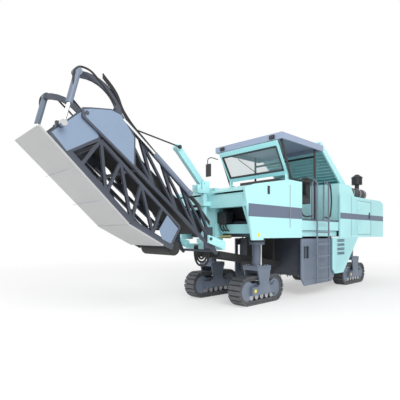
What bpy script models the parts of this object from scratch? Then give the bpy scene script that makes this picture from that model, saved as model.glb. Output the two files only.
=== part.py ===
"""Cold planer milling machine on four crawler tracks, parked with its loading conveyor folded.

Metres, +X forward, +Y the machine's left, +Z up. Shapes are drawn from the front leg axis at x = 0,
and centre_model() then moves every node so that the whole machine is centred on the origin.
"""

import math

import bmesh
import bpy
from mathutils import Matrix, Vector

GAP = 0.0003  # between pieces that are bolted together, so that no two solids overlap
CLEAR = 0.008  # between pieces that move past each other

# Whole machine
ORIGIN_X = 0.8796  # how far the front leg axis is ahead of the middle of the machine
BODY_HALF = 1.15  # outside of the side panels
FRONT_TOP_X, FRONT_FOOT_X = 0.947, 0.695  # raked front edge of the side panels
REAR_X = -6.45
SKIN = 0.05
SILL_Z = 1.47
DECK_Z = 1.94
HOOD_Z = 2.68

# Crawler legs
WHEELBASE = 4.75
GAUGE = 1.44
TRACK_LENGTH, TRACK_HEIGHT, SHOE_WIDTH = 1.60, 0.63, 0.33
COLUMN_RADIUS, COLUMN_TOP_Z = 0.11, 2.36
YOKE_TOP_Z = 0.85
SLEEVE_Z = SILL_Z - 0.10
LEGS = {
    "front_left": (0.0, 1),
    "front_right": (0.0, -1),
    "rear_left": (-WHEELBASE, 1),
    "rear_right": (-WHEELBASE, -1),
}

# Milling drum
DRUM_X, DRUM_Z = -2.37, 0.80
DRUM_RADIUS, DRUM_HALF = 0.40, 0.93
PICK_REACH = 0.09
HOUSING_HALF = 1.03
PLATE_TOP_Z, PLATE_LIFT = 1.44, 0.20  # side plates, and how far they rise

# Operator's stand
ROOF_FRONT_X, ROOF_REAR_X = -0.48, -2.40
ROOF_Z, ROOF_HEIGHT, ROOF_HALF = 3.77, 0.15, 1.07

# Loading conveyor, seen from the side: (x, z)
KING_PIN_X = 0.98
LIFT_PIN = (1.36, 1.46)
FOLD_PIN = (4.01, 3.40)
TOWER_PIN = (4.19, 3.95)
ROD_EYE = (4.40, 3.15)
EYE_RADIUS = 0.045
HOOK_WIDTH = 0.10  # of the curved arm to the tower pin, which the rod's eye passes under as it folds
CONVEYOR_HALF = 0.55
HEAD_DRUM = (2.20, 1.29)
OUTER_BEAM = ((3.19, 1.76), (4.51, 3.00))
BENT_BEAM = ((2.30, 1.31), (3.19, 1.76))
BEAM_HEIGHT = 0.10
ARM_PIN = (1.05, 2.66)
ARM_TIP = (1.75, 3.36)
TIE_PIN = (3.30, 3.56)

MATERIALS = {}


# ---------------------------------------------------------------- helpers


def clear_scene():
    for obj in list(bpy.data.objects):
        bpy.data.objects.remove(obj)


# Roughness and metallic value of each material
SURFACES = {
    "teal": (0.40, 0.0),
    "slate": (0.40, 0.0),
    "frame_grey": (0.55, 0.1),
    "cover_grey": (0.45, 0.2),
    "black": (0.60, 0.0),
    "track_rubber": (0.85, 0.0),
    "belt_rubber": (0.80, 0.0),
    "chrome": (0.10, 1.0),
    "steel": (0.60, 0.8),
}


def material(name, colour):
    if name not in MATERIALS:
        made = bpy.data.materials.new(name)
        made.diffuse_color = (*colour, 1.0)
        made.use_nodes = True
        shader = made.node_tree.nodes["Principled BSDF"]
        roughness, metallic = SURFACES[name]
        shader.inputs["Base Color"].default_value = (*colour, 1.0)
        shader.inputs["Roughness"].default_value = roughness
        shader.inputs["Metallic"].default_value = metallic
        MATERIALS[name] = made
    return MATERIALS[name]


def new_object(name, bm):
    bmesh.ops.recalc_face_normals(bm, faces=bm.faces)
    mesh = bpy.data.meshes.new(name)
    bm.to_mesh(mesh)
    bm.free()
    obj = bpy.data.objects.new(name, mesh)
    bpy.context.scene.collection.objects.link(obj)
    return obj


def box(x0, x1, y0, y1, z0, z1):
    """A block between two corners."""
    bm = bmesh.new()
    size = Vector((x1 - x0, y1 - y0, z1 - z0))
    middle = Vector((x0 + x1, y0 + y1, z0 + z1)) / 2
    bmesh.ops.create_cube(bm, size=1.0, matrix=Matrix.Translation(middle) @ Matrix.Diagonal((*size, 1.0)))
    return new_object("box", bm)


def prism(outline, lo, hi, normal="y"):
    """An outline of (x, z), (x, y) or (y, z) points, extruded from lo to hi along its normal."""
    place = {
        "y": lambda a, b, c: (a, c, b),
        "z": lambda a, b, c: (a, b, c),
        "x": lambda a, b, c: (c, a, b),
    }[normal]
    bm = bmesh.new()
    low = [bm.verts.new(place(a, b, lo)) for a, b in outline]
    high = [bm.verts.new(place(a, b, hi)) for a, b in outline]
    bm.faces.new(low)
    bm.faces.new(high[::-1])
    count = len(outline)
    for i in range(count):
        j = (i + 1) % count
        bm.faces.new((low[i], high[i], high[j], low[j]))
    return new_object("prism", bm)


def bar(start, end, radius, sides=16, radius2=None):
    """A round bar between two points, tapering to radius2 if that is given."""
    start, end = Vector(start), Vector(end)
    along = end - start
    turn = along.to_track_quat("Z", "Y").to_matrix().to_4x4()
    bm = bmesh.new()
    bmesh.ops.create_cone(
        bm,
        cap_ends=True,
        segments=sides,
        radius1=radius,
        radius2=radius if radius2 is None else radius2,
        depth=along.length,
        matrix=Matrix.Translation((start + end) / 2) @ turn,
    )
    return new_object("bar", bm)


def beam(start, end, y0, y1, height):
    """A rectangular bar between two (x, z) points, with its height across the line."""
    (xa, za), (xb, zb) = start, end
    length = math.hypot(xb - xa, zb - za)
    nx, nz = -(zb - za) / length * height / 2, (xb - xa) / length * height / 2
    outline = [(xa - nx, za - nz), (xb - nx, zb - nz), (xb + nx, zb + nz), (xa + nx, za + nz)]
    return prism(outline, y0, y1)


def pipe(points, radius, sides=8):
    """A bent round bar through some points."""
    curve = bpy.data.curves.new("pipe", "CURVE")
    curve.dimensions = "3D"
    curve.bevel_depth = radius
    curve.bevel_resolution = max(sides // 4 - 1, 0)
    curve.use_fill_caps = True
    spline = curve.splines.new("POLY")
    spline.points.add(len(points) - 1)
    for point, place in zip(spline.points, points):
        point.co = (*place, 1.0)
    guide = bpy.data.objects.new("pipe", curve)
    bpy.context.scene.collection.objects.link(guide)
    bpy.context.view_layer.update()
    mesh = bpy.data.meshes.new_from_object(guide.evaluated_get(bpy.context.evaluated_depsgraph_get()))
    bpy.data.objects.remove(guide)
    bm = bmesh.new()
    bm.from_mesh(mesh)
    bmesh.ops.remove_doubles(bm, verts=bm.verts, dist=1e-6)
    return new_object("pipe", bm)


def stadium(length, height, sides=12):
    """Outline of a track loop, centred on (0, height / 2)."""
    radius = height / 2
    reach = length / 2 - radius
    points = []
    for middle, start in ((reach, -90), (-reach, 90)):
        for i in range(sides + 1):
            angle = math.radians(start + 180 * i / sides)
            points.append((middle + radius * math.cos(angle), radius + radius * math.sin(angle)))
    return points


def combine(base, others, operation):
    if not others:
        return
    group = bpy.data.collections.new("operands")
    for other in others:
        group.objects.link(other)
    step = base.modifiers.new(operation.lower(), "BOOLEAN")
    step.operation = operation
    step.solver = "EXACT"
    step.operand_type = "COLLECTION"
    step.collection = group
    bpy.context.view_layer.update()
    graph = bpy.context.evaluated_depsgraph_get()
    baked = bpy.data.meshes.new_from_object(base.evaluated_get(graph))
    base.modifiers.clear()
    base.data = baked
    bpy.data.collections.remove(group)
    for other in others:
        bpy.data.objects.remove(other)


def node(name, look, pieces, cuts=()):
    """One named solid: its pieces joined into one, and the cuts taken out of it."""
    base = pieces[0]
    combine(base, list(pieces[1:]), "UNION")
    combine(base, list(cuts), "DIFFERENCE")
    base.name = name
    base.data.name = name
    base.data.materials.clear()
    base.data.materials.append(look)
    return base


def moved(obj, x=0.0, y=0.0, z=0.0):
    obj.data.transform(Matrix.Translation((x, y, z)))
    return obj


def both_sides(make):
    """The pieces that make(side) gives for the left, side 1, and for the right, side -1."""
    return [piece for side in (1, -1) for piece in make(side)]


def span(side, inner, outer):
    """The low and high y of something that lies from inner to outer on one side."""
    return min(side * inner, side * outer), max(side * inner, side * outer)


# ---------------------------------------------------------------- tracks and legs


def track(name, x, side):
    loop = stadium(TRACK_LENGTH - 0.06, TRACK_HEIGHT - 0.06)
    shoes = []
    pitch_count = 36
    radius = (TRACK_HEIGHT - 0.06) / 2
    reach = (TRACK_LENGTH - 0.06) / 2 - radius
    run = 4 * reach + 2 * math.pi * radius
    for i in range(pitch_count):
        s = run * (i + 0.5) / pitch_count
        if s < 2 * reach:
            px, pz, angle = -reach + s, 0.0, -90.0
        elif s < 2 * reach + math.pi * radius:
            angle = -90 + math.degrees((s - 2 * reach) / radius)
            px, pz = reach + radius * math.cos(math.radians(angle)), radius + radius * math.sin(math.radians(angle))
        elif s < 4 * reach + math.pi * radius:
            px, pz, angle = reach - (s - 2 * reach - math.pi * radius), 2 * radius, 90.0
        else:
            angle = 90 + math.degrees((s - 4 * reach - math.pi * radius) / radius)
            px, pz = -reach + radius * math.cos(math.radians(angle)), radius + radius * math.sin(math.radians(angle))
        shoe = box(-0.01, 0.032, -SHOE_WIDTH / 2, SHOE_WIDTH / 2, -0.044, 0.044)
        shoe.data.transform(Matrix.Rotation(-math.radians(angle), 4, "Y"))
        shoes.append(moved(shoe, px, 0, pz + 0.03))
    belt = prism([(a, b + 0.03) for a, b in loop], -SHOE_WIDTH / 2 + 0.02, SHOE_WIDTH / 2 - 0.02)
    hole = stadium(TRACK_LENGTH - 0.20, TRACK_HEIGHT - 0.20)
    inner = prism([(a, b + 0.10) for a, b in hole], -1, 1)
    made = node("track_" + name, material("track_rubber", (0.05, 0.05, 0.055)), [belt, *shoes], [inner, box(-2, 2, -1, 1, -0.1, 0)])
    return moved(made, x, side * GAUGE / 2)


def leg(name, x, side):
    """The track's frame with its idlers, the yoke that straddles the track, and the steered column."""
    cheek = SHOE_WIDTH / 2 + 0.012
    half = TRACK_LENGTH / 2 - TRACK_HEIGHT / 2
    frame = [
        box(-half, half, -0.11, 0.11, 0.17, 0.47),
        box(-0.20, 0.20, -cheek - 0.035, cheek + 0.035, 0.24, 0.44),
        box(-0.42, 0.42, -cheek - 0.03, -0.10, 0.22, 0.40),
        box(-0.42, 0.42, 0.10, cheek + 0.03, 0.22, 0.40),
    ]
    for end in (half, -half):
        frame.append(bar((end, -0.13, TRACK_HEIGHT / 2), (end, 0.13, TRACK_HEIGHT / 2), 0.215 - GAP, 24))
    for y0, y1 in ((-cheek - 0.035, -cheek), (cheek, cheek + 0.035)):
        outline = [(-0.13, 0.30), (0.13, 0.30), (0.24, YOKE_TOP_Z), (-0.24, YOKE_TOP_Z)]
        frame.append(prism(outline, y0, y1))
    frame.append(box(-0.24, 0.24, -cheek - 0.035, cheek + 0.035, YOKE_TOP_Z - 0.10, YOKE_TOP_Z))
    frame.append(bar((0, 0, YOKE_TOP_Z - 0.05), (0, 0, COLUMN_TOP_Z), COLUMN_RADIUS, 32))
    frame.append(bar((0, 0, SLEEVE_Z - 0.05), (0, 0, SLEEVE_Z - GAP), 0.17, 32))
    made = node("leg_" + name, material("frame_grey", (0.16, 0.17, 0.19)), frame)
    return moved(made, x, side * GAUGE / 2)


# ---------------------------------------------------------------- chassis


def main_frame():
    rail_y = (0.93, 1.04)
    pieces = [box(REAR_X + 0.12, 0.42, -1.04, 1.04, SILL_Z + 0.02, SILL_Z + 0.08)]
    pieces += both_sides(lambda side: [box(REAR_X + 0.12, 0.42, *span(side, *rail_y), SILL_Z + 0.02, 1.84)])
    for x in (0.36, -1.10, -3.30, -4.30, -5.60, REAR_X + 0.12):
        pieces.append(box(x, x + 0.06, -1.0, 1.0, SILL_Z + 0.02, 1.84))
    cuts = []
    for x, side in LEGS.values():
        y = side * GAUGE / 2
        pieces.append(bar((x, y, SLEEVE_Z), (x, y, 2.42), 0.185, 32))
        cuts.append(bar((x, y, SLEEVE_Z - 0.20), (x, y, 2.375), COLUMN_RADIUS + CLEAR, 32))
    return node("main_frame", material("frame_grey", (0.16, 0.17, 0.19)), pieces, cuts)


def front_crossbeam():
    """The beam between the side panels, with the mast that carries the loading conveyor."""
    pieces = [box(0.70, 0.88, -BODY_HALF + SKIN + GAP, BODY_HALF - SKIN - GAP, 2.13, 2.42)]
    pieces.append(prism([(0.50, 1.36), (0.62, 1.24), (0.76, 1.36), (0.76, 2.60), (0.50, 2.60)], -0.13, 0.13))
    pieces.append(box(0.42 + GAP, 0.60, -1.0, 1.0, SILL_Z + 0.10, SILL_Z + 0.30))
    pieces += both_sides(lambda side: [prism([(0.43, 1.60), (0.60, 1.60), (0.88, 2.20), (0.72, 2.20)], *span(side, 1.0, 1.05))])
    for z0 in (1.36, 2.18):
        pieces.append(box(0.70, KING_PIN_X + 0.12, -0.11, 0.11, z0, z0 + 0.10))
    cuts = [bar((KING_PIN_X, 0, 1.0), (KING_PIN_X, 0, 3.0), 0.07 + CLEAR, 32)]
    return node("front_crossbeam", material("teal", (0.37, 0.64, 0.67)), pieces, cuts)


def side_panel(name, side):
    outline = [
        (FRONT_TOP_X, 2.50), (0.62, 2.60), (-0.63, 2.82), (-1.21, 2.82), (-1.21, SILL_Z),
        (0.33, SILL_Z), (0.33, SILL_Z - 0.04), (FRONT_FOOT_X, SILL_Z - 0.04),
    ]
    panel = prism(outline, *span(side, BODY_HALF - SKIN, BODY_HALF))
    return node("front_panel_" + name, material("teal", (0.37, 0.64, 0.67)), [panel])


def rear_panel(name, side):
    """The engine bay's side, with an opening that the service door closes."""
    outline = [
        (-3.24, SILL_Z), (-3.24, HOOD_Z), (REAR_X + 0.25, HOOD_Z), (REAR_X, HOOD_Z - 0.09), (REAR_X, SILL_Z),
    ]
    panel = prism(outline, *span(side, BODY_HALF - SKIN, BODY_HALF))
    hole = box(-5.37, -4.35, *span(side, 1.0, 1.3), SILL_Z + 0.08, HOOD_Z - 0.10)
    return node("rear_panel_" + name, material("teal", (0.37, 0.64, 0.67)), [panel], [hole])


def service_door(name, side):
    panel = box(-5.36, -4.36, *span(side, BODY_HALF - 0.04, BODY_HALF), SILL_Z + 0.09, HOOD_Z - 0.11)
    lugs = []
    for z in (1.75, 2.35):
        lugs.append(box(-4.45, -4.365, *span(side, BODY_HALF - 0.02, BODY_HALF + 0.03), z - 0.05, z + 0.05))
        lugs.append(box(-4.45, -4.335, *span(side, BODY_HALF + GAP, BODY_HALF + 0.03), z - 0.05, z + 0.05))
    return node("service_door_" + name, material("teal", (0.37, 0.64, 0.67)), [panel, *lugs])


def skirt(name, side):
    """The louvred skirt that covers the drum drive, below the sill."""
    outline = [(-2.80, SILL_Z - GAP), (-2.80, 0.60), (-2.92, 0.47), (-3.42, 0.47), (-4.43, SILL_Z - GAP)]
    panel = prism(outline, *span(side, BODY_HALF - 0.04, BODY_HALF))
    slots = []
    for i in range(4):
        z = 1.38 - 0.12 * i
        slots.append(box(-3.50, -3.05, *span(side, 1.13, 1.3), z - 0.04, z + 0.04))
    return node("skirt_" + name, material("teal", (0.37, 0.64, 0.67)), [panel], slots)


def front_hood():
    """The sloping cover over the tanks, from the front of the machine to the operator's stand."""
    top = [(FRONT_TOP_X - 0.02, 2.49), (0.62, 2.59), (-0.63, 2.81), (-0.95, 2.81)]
    outline = top + [(x, z - 0.04) for x, z in reversed(top)]
    inner = BODY_HALF - SKIN - GAP
    return node("front_hood", material("teal", (0.37, 0.64, 0.67)), [
        prism(outline, -inner, inner),
        box(-0.95, -0.91, -inner, inner, DECK_Z + GAP, 2.81),
    ], [box(0.48, 1.0, -0.16, 0.16, 2.3, 2.8)])


def engine_hood():
    inner = BODY_HALF - SKIN - GAP
    top = [
        (-3.28, 3.00), (-4.00, 3.00), (-4.30, HOOD_Z), (REAR_X + 0.25, HOOD_Z), (REAR_X + 0.05, HOOD_Z - 0.07),
    ]
    outline = top + [(x + 0.0, z - 0.04) for x, z in reversed(top)]
    pieces = [prism(outline, -inner, inner)]
    pieces += both_sides(lambda side: [prism(
        [(-3.28, HOOD_Z - 0.05), (-4.40, HOOD_Z - 0.05), (-4.30, HOOD_Z - 0.01), (-4.00, 2.99), (-3.28, 2.99)],
        *span(side, inner - 0.04, inner))])
    pieces.append(box(-3.32, -3.28, -inner, inner, DECK_Z + GAP, 2.99))
    return node("engine_hood", material("teal", (0.37, 0.64, 0.67)), pieces)


def rear_wall():
    inner = BODY_HALF - SKIN - GAP
    wall = box(REAR_X + 0.01, REAR_X + 0.05, -inner, inner, SILL_Z, HOOD_Z - 0.12)
    hole = box(REAR_X - 0.1, REAR_X + 0.1, -0.81, 0.81, SILL_Z + 0.19, HOOD_Z - 0.19)
    return node("rear_wall", material("teal", (0.37, 0.64, 0.67)), [wall], [hole])


def rear_door():
    door = box(REAR_X + 0.005, REAR_X + 0.045, -0.80, 0.80, SILL_Z + 0.20, HOOD_Z - 0.20)
    lugs = [box(REAR_X - 0.02, REAR_X + 0.01 - GAP, y - 0.06, y + 0.06, HOOD_Z - 0.28, HOOD_Z - 0.18) for y in (-0.6, 0.6)]
    return node("rear_door", material("teal", (0.37, 0.64, 0.67)), [door, *lugs])


def engine_block():
    return node("engine_block", material("frame_grey", (0.16, 0.17, 0.19)), [
        box(-5.90, -4.50, -0.42, 0.42, 1.84 + GAP, 2.50)])


def deck():
    inner = BODY_HALF - SKIN - GAP
    return node("operator_deck", material("black", (0.03, 0.03, 0.03)), [
        box(-3.24, -0.95, -inner, inner, 1.84 + GAP, DECK_Z),
        *both_sides(lambda side: [box(-3.22, -1.22, *span(side, 1.06, inner), PLATE_TOP_Z + PLATE_LIFT + CLEAR, 1.90)]),
    ])


# ---------------------------------------------------------------- operator's stand


def front_wall():
    foot, head = (-0.93, 3.01), (-0.48, 3.75)
    pieces = [beam(foot, head, -0.93, 0.93, 0.04)]
    for y in (-0.90, 0.90):
        pieces.append(box(-0.96, -0.90, y - 0.03, y + 0.03, 2.81 + GAP, 3.06))
    lean = (0.45 / 0.74)
    window = [(foot[0] + lean * 0.10, 3.11), (foot[0] + lean * 0.62, 3.63)]
    cuts = [beam(window[0], window[1], -0.86, 0.86, 0.3)]
    return node("front_wall", material("teal", (0.37, 0.64, 0.67)), pieces, cuts)


def canopy_roof():
    low = box(ROOF_REAR_X, ROOF_FRONT_X, -ROOF_HALF, ROOF_HALF, ROOF_Z, ROOF_Z + ROOF_HEIGHT)
    hollow = box(ROOF_REAR_X + 0.05, ROOF_FRONT_X - 0.05, -ROOF_HALF + 0.05, ROOF_HALF - 0.05, ROOF_Z - 0.1, ROOF_Z + 0.10)
    return node("canopy_roof", material("slate", (0.20, 0.26, 0.38)), [low], [hollow])


def roof_posts():
    def post(side):
        y = side * 0.98
        return [
            pipe([(-2.12, y, DECK_Z + GAP), (-2.12, y, ROOF_Z + 0.10 - GAP)], 0.03),
            pipe([(-1.00, y, DECK_Z + GAP), (-1.00, y, 2.9), (-0.60, y, 3.74), (-0.60, y, ROOF_Z + 0.10 - GAP)], 0.03),
        ]
    pieces = both_sides(post)
    pieces.append(pipe([(-2.12, -0.98, 3.60), (-2.12, 0.98, 3.60)], 0.03))
    pieces += both_sides(lambda side: [pipe([(-2.12, side * 0.98, 2.9), (-1.00, side * 0.98, 2.9)], 0.02)])
    return node("roof_posts", material("black", (0.03, 0.03, 0.03)), pieces)


def rear_screen():
    """The slanted, louvred wall that draws the engine's cooling air."""
    head, foot = (-2.43, 3.86), (-3.60, 3.00 + GAP)
    pieces = []
    outline = [head, foot, (-3.97, 3.00 + GAP), (-2.43, 4.05)]
    pieces += both_sides(lambda side: [prism(outline, *span(side, 0.95, 1.0))])
    count = 12
    for i in range(count):
        t = (i + 0.5) / count
        x, z = head[0] + t * (foot[0] - head[0]), head[1] + t * (foot[1] - head[1])
        pieces.append(beam((x, z + 0.01), (x - 0.06, z + 0.04), -0.96, 0.96, 0.02))
    outer = [(-2.43, 4.05), (-3.97, 3.00 + GAP), (-3.93, 3.00 + GAP), (-2.43, 4.01)]
    pieces.append(prism(outer, -0.96, 0.96))
    return node("rear_screen", material("teal", (0.37, 0.64, 0.67)), pieces)


def seat():
    return node("operator_seat", material("black", (0.03, 0.03, 0.03)), [
        box(-1.95, -1.85, 0.45, 0.95, 2.35, 3.00),
        box(-1.92, -1.45, 0.45, 0.95, 2.35, 2.50),
        box(-1.78, -1.60, 0.60, 0.80, DECK_Z + GAP, 2.40),
    ])


def console():
    return node("control_console", material("black", (0.03, 0.03, 0.03)), [
        box(-1.30, -0.96, -0.60, 0.60, 2.30, 2.95),
        box(-1.20, -1.00, -0.30, 0.30, DECK_Z + GAP, 2.40),
    ])


def air_cleaner():
    return node("air_cleaner", material("black", (0.03, 0.03, 0.03)), [
        bar((-5.0, 0.55, 2.92), (-6.1, 0.55, 2.92), 0.18, 24),
        box(-5.25, -5.15, 0.45, 0.65, HOOD_Z + GAP, 2.85),
        box(-5.95, -5.85, 0.45, 0.65, HOOD_Z + GAP, 2.85),
        bar((-5.75, 0.55, 2.95), (-5.75, 0.55, 3.30), 0.07, 16),
        bar((-5.75, 0.55, 3.25), (-5.75, 0.55, 3.50), 0.17, 24),
        bar((-5.75, 0.55, 3.49), (-5.75, 0.55, 3.60), 0.195, 24, 0.05),
    ])


def ladder(name, side):
    pieces = []
    for x in (-1.81, -2.41):
        pieces.append(pipe([(x, side * 1.22, 0.32), (x, side * 1.22, 2.85), (x, side * 1.14, 2.95),
                            (x, side * 1.08, 2.85), (x, side * 1.08, DECK_Z + GAP)], 0.022))
    for i in range(6):
        z = 0.40 + 0.30 * i
        pieces.append(box(-2.42, -1.80, *span(side, 1.19, 1.25), z - 0.015, z + 0.015))
    return node("ladder_" + name, material("frame_grey", (0.16, 0.17, 0.19)), pieces)


# ---------------------------------------------------------------- milling unit


def drum_housing():
    h = HOUSING_HALF
    x0, x1 = -3.30, -1.45
    body = box(x0, x1, -h, h, 0.50, SILL_Z - 0.02)
    bore = [
        box(x0 - 0.1, x1 - 0.05, -h + 0.04, h - 0.04, 0.3, SILL_Z - 0.07),
        bar((DRUM_X, -2, DRUM_Z), (DRUM_X, 2, DRUM_Z), 0.14, 32),
    ]
    extra = [box(x, x + 0.06, -0.9, 0.9, SILL_Z - 0.03, SILL_Z + 0.02 - GAP) for x in (-1.6, -3.2)]
    for x in (-1.60, -2.90):
        extra += both_sides(lambda side: [box(x, x + 0.10, *span(side, h - 0.02, 1.052 - GAP), 0.60, 1.40)])
    return node("drum_housing", material("frame_grey", (0.16, 0.17, 0.19)), [body, *extra], bore)


def milling_drum():
    pieces = [bar((DRUM_X, -DRUM_HALF, DRUM_Z), (DRUM_X, DRUM_HALF, DRUM_Z), DRUM_RADIUS, 48)]
    pieces.append(bar((DRUM_X, -HOUSING_HALF - 0.01, DRUM_Z), (DRUM_X, HOUSING_HALF + 0.01, DRUM_Z), 0.13, 32))
    seat = HOUSING_HALF - 0.04 - GAP
    pieces.append(bar((DRUM_X, -seat, DRUM_Z), (DRUM_X, seat, DRUM_Z), 0.22, 32))
    count = 40
    for i in range(count):
        side = 1 if i % 2 else -1
        t = (i // 2 + 0.5) / (count / 2)
        y = side * t * (DRUM_HALF - 0.05)
        angle = math.radians(side * 540 * t + (0 if side > 0 else 95))
        out = Vector((math.cos(angle), 0, math.sin(angle)))
        foot = Vector((DRUM_X, y, DRUM_Z)) + out * (DRUM_RADIUS - 0.02)
        lead = Vector((-out.z, 0, out.x)) * 0.04
        pieces.append(bar(foot, foot + out * (PICK_REACH + 0.015) + lead, 0.032, 8, 0.012))
    return node("milling_drum", material("steel", (0.35, 0.34, 0.33)), pieces)


def moldboard():
    """The scraper behind the drum, which swings up for access to the picks."""
    h = HOUSING_HALF - 0.05
    outline = [(-3.16, 1.30), (-3.10, 1.30), (-2.98, 0.36), (-3.10, 0.30), (-3.14, 0.34)]
    pin = HOUSING_HALF - 0.04 - GAP
    return node("moldboard", material("frame_grey", (0.16, 0.17, 0.19)), [
        prism(outline, -h, h), bar((-3.13, -pin, 1.27), (-3.13, pin, 1.27), 0.035, 20)])


def side_plate(name, side):
    outline = [
        (-1.29, PLATE_TOP_Z), (-1.29, 0.45), (-1.45, 0.27), (-2.85, 0.27), (-3.0, 0.42), (-3.0, PLATE_TOP_Z),
    ]
    y = span(side, 1.052, 1.085)
    plate = prism(outline, *y)
    hole = prism([(-1.40, 1.25), (-1.40, 0.95), (-1.65, 0.95), (-1.65, 1.25)], *span(side, 1.0, 1.2))
    return node("side_plate_" + name, material("teal", (0.37, 0.64, 0.67)), [plate], [hole])


def primary_conveyor():
    return node("primary_conveyor", material("belt_rubber", (0.03, 0.03, 0.03)), [
        beam((-1.36, 0.78), (0.90, 1.12), -0.42, 0.42, 0.14),
        box(-1.10 - 0.02, -1.04, -0.42, 0.42, 0.80, SILL_Z + 0.02 - GAP),
    ])


# ---------------------------------------------------------------- loading conveyor


def slew_frame():
    """Turns about the king pin, and carries the conveyor's foot and the luffing arm."""
    x, z = LIFT_PIN
    out = CONVEYOR_HALF + CLEAR
    pieces = [bar((KING_PIN_X, 0, 1.20), (KING_PIN_X, 0, 2.52), 0.07, 32)]
    pieces.append(box(KING_PIN_X - 0.09, KING_PIN_X + 0.09, -0.09, 0.09, 1.20, 1.36 - GAP))
    pieces.append(box(KING_PIN_X - 0.06, KING_PIN_X + 0.02, -out - 0.04, out + 0.04, 1.22, 1.34))
    pieces += both_sides(lambda side: [prism(
        [(KING_PIN_X - 0.06, 1.22), (x + 0.06, z - 0.08), (x + 0.06, z + 0.08), (KING_PIN_X - 0.06, 1.40)],
        *span(side, out, out + 0.04))])
    pieces.append(box(KING_PIN_X - 0.09, ARM_PIN[0] + 0.20, -0.085, 0.085, 2.46, 2.54))
    pieces += both_sides(lambda side: [
        box(KING_PIN_X - 0.09, ARM_PIN[0] + 0.06, *span(side, 0.048, 0.085), 2.50, 2.73),
        box(ARM_PIN[0] + 0.10, ARM_PIN[0] + 0.20, *span(side, 0.048, 0.085), 2.50, 2.64)])
    cuts = [bar((ARM_PIN[0], -1, ARM_PIN[1]), (ARM_PIN[0], 1, ARM_PIN[1]), 0.023, 16),
            bar((x, -1, z), (x, 1, z), 0.033, 20)]
    return node("slew_frame", material("teal", (0.37, 0.64, 0.67)), pieces, cuts)


def along(line, t):
    """The point a part t of the way along a line of two (x, z) points."""
    (xa, za), (xb, zb) = line
    return xa + t * (xb - xa), za + t * (zb - za)


def shifted(line, by, before=0.0, after=0.0):
    """A line of two (x, z) points moved to its right by some distance, and lengthened at its ends."""
    (xa, za), (xb, zb) = line
    length = math.hypot(xb - xa, zb - za)
    ux, uz = (xb - xa) / length, (zb - za) / length
    return (
        (xa + by * uz - before * ux, za - by * ux - before * uz),
        (xb + by * uz + after * ux, zb - by * ux + after * uz),
    )


def truss(upper, lower, panels, y0, y1):
    """Two chords, with posts and diagonals between them."""
    pieces = [beam(*upper, y0, y1, 0.06), beam(*lower, y0, y1, 0.06)]
    stations = [0.02 + 0.96 * i / panels for i in range(panels + 1)]
    for t in stations:
        pieces.append(beam(along(upper, t), along(lower, t), y0, y1, 0.05))
    for t, u in zip(stations, stations[1:]):
        pieces.append(beam(along(lower, t), along(upper, u), y0, y1, 0.04))
    return pieces


def arc(radius, first, last, steps=10):
    """Points (x, z) about the fold pin, from one angle to another in degrees."""
    angles = [math.radians(first + (last - first) * i / steps) for i in range(steps + 1)]
    return [(FOLD_PIN[0] + radius * math.cos(a), FOLD_PIN[1] + radius * math.sin(a)) for a in angles]


def conveyor_rear_frame():
    upper = ((1.60, 2.10), (3.52, 3.60))
    lower = ((1.12, 1.15), (3.30, 2.83))
    pin_y, out = CONVEYOR_HALF + CLEAR, CONVEYOR_HALF + 0.05
    eye_sweep = math.hypot(ROD_EYE[0] - FOLD_PIN[0], ROD_EYE[1] - FOLD_PIN[1]) + EYE_RADIUS
    hook_inner = eye_sweep + 0.012
    def side_frame(side):
        plate = prism([(3.15, 2.66), (FOLD_PIN[0] + 0.07, FOLD_PIN[1] - 0.07), (FOLD_PIN[0] + 0.07, FOLD_PIN[1] + 0.07),
                       (FOLD_PIN[0] - 0.06, FOLD_PIN[1] + 0.10), (3.60, 3.56), (3.40, 3.52), (3.15, 3.20)], *span(side, pin_y, out))
        hook = prism(arc(hook_inner + HOOK_WIDTH, 172, 70) + arc(hook_inner, 70, 172), *span(side, pin_y, out))
        lug = bar((TOWER_PIN[0], side * (pin_y + 0.01), TOWER_PIN[1]), (TOWER_PIN[0], side * (out + 0.01), TOWER_PIN[1]), 0.055, 20)
        return [
            *truss(upper, lower, 4, *span(side, CONVEYOR_HALF - 0.05, CONVEYOR_HALF)),
            plate, hook, lug,
            box(3.16, 3.26, *span(side, CONVEYOR_HALF - 0.02, pin_y + 0.01), 2.78, 3.25),
            bar((LIFT_PIN[0], side * (CONVEYOR_HALF - 0.03), LIFT_PIN[1]),
                (LIFT_PIN[0], side * (CONVEYOR_HALF + 0.07), LIFT_PIN[1]), 0.03, 20),
            bar((LIFT_PIN[0], side * (CONVEYOR_HALF - 0.03), LIFT_PIN[1]),
                (LIFT_PIN[0], side * (CONVEYOR_HALF + CLEAR - GAP), LIFT_PIN[1]), 0.065, 20),
            box(LIFT_PIN[0] - 0.11, LIFT_PIN[0] + 0.11, *span(side, CONVEYOR_HALF - 0.045, CONVEYOR_HALF - 0.005), LIFT_PIN[1] - 0.20, LIFT_PIN[1] + 0.24),
        ]
    pieces = both_sides(side_frame)
    for x, z in ((1.16, 1.20), (3.10, 2.66), (1.62, 2.12), (3.45, 3.55)):
        pieces.append(bar((x, -CONVEYOR_HALF + 0.02, z), (x, CONVEYOR_HALF - 0.02, z), 0.028, 12))
    x, z = TIE_PIN
    pieces.append(box(x - 0.05, x + 0.05, 0.03, 0.065, 3.42, z + 0.03))
    pieces.append(bar((x, -CONVEYOR_HALF + 0.02, 3.42), (x, CONVEYOR_HALF - 0.02, 3.42), 0.03, 12))
    cuts = [bar((FOLD_PIN[0], -1, FOLD_PIN[1]), (FOLD_PIN[0], 1, FOLD_PIN[1]), 0.038, 20)]
    return node("conveyor_rear_frame", material("slate", (0.20, 0.26, 0.38)), pieces, cuts)


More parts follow.
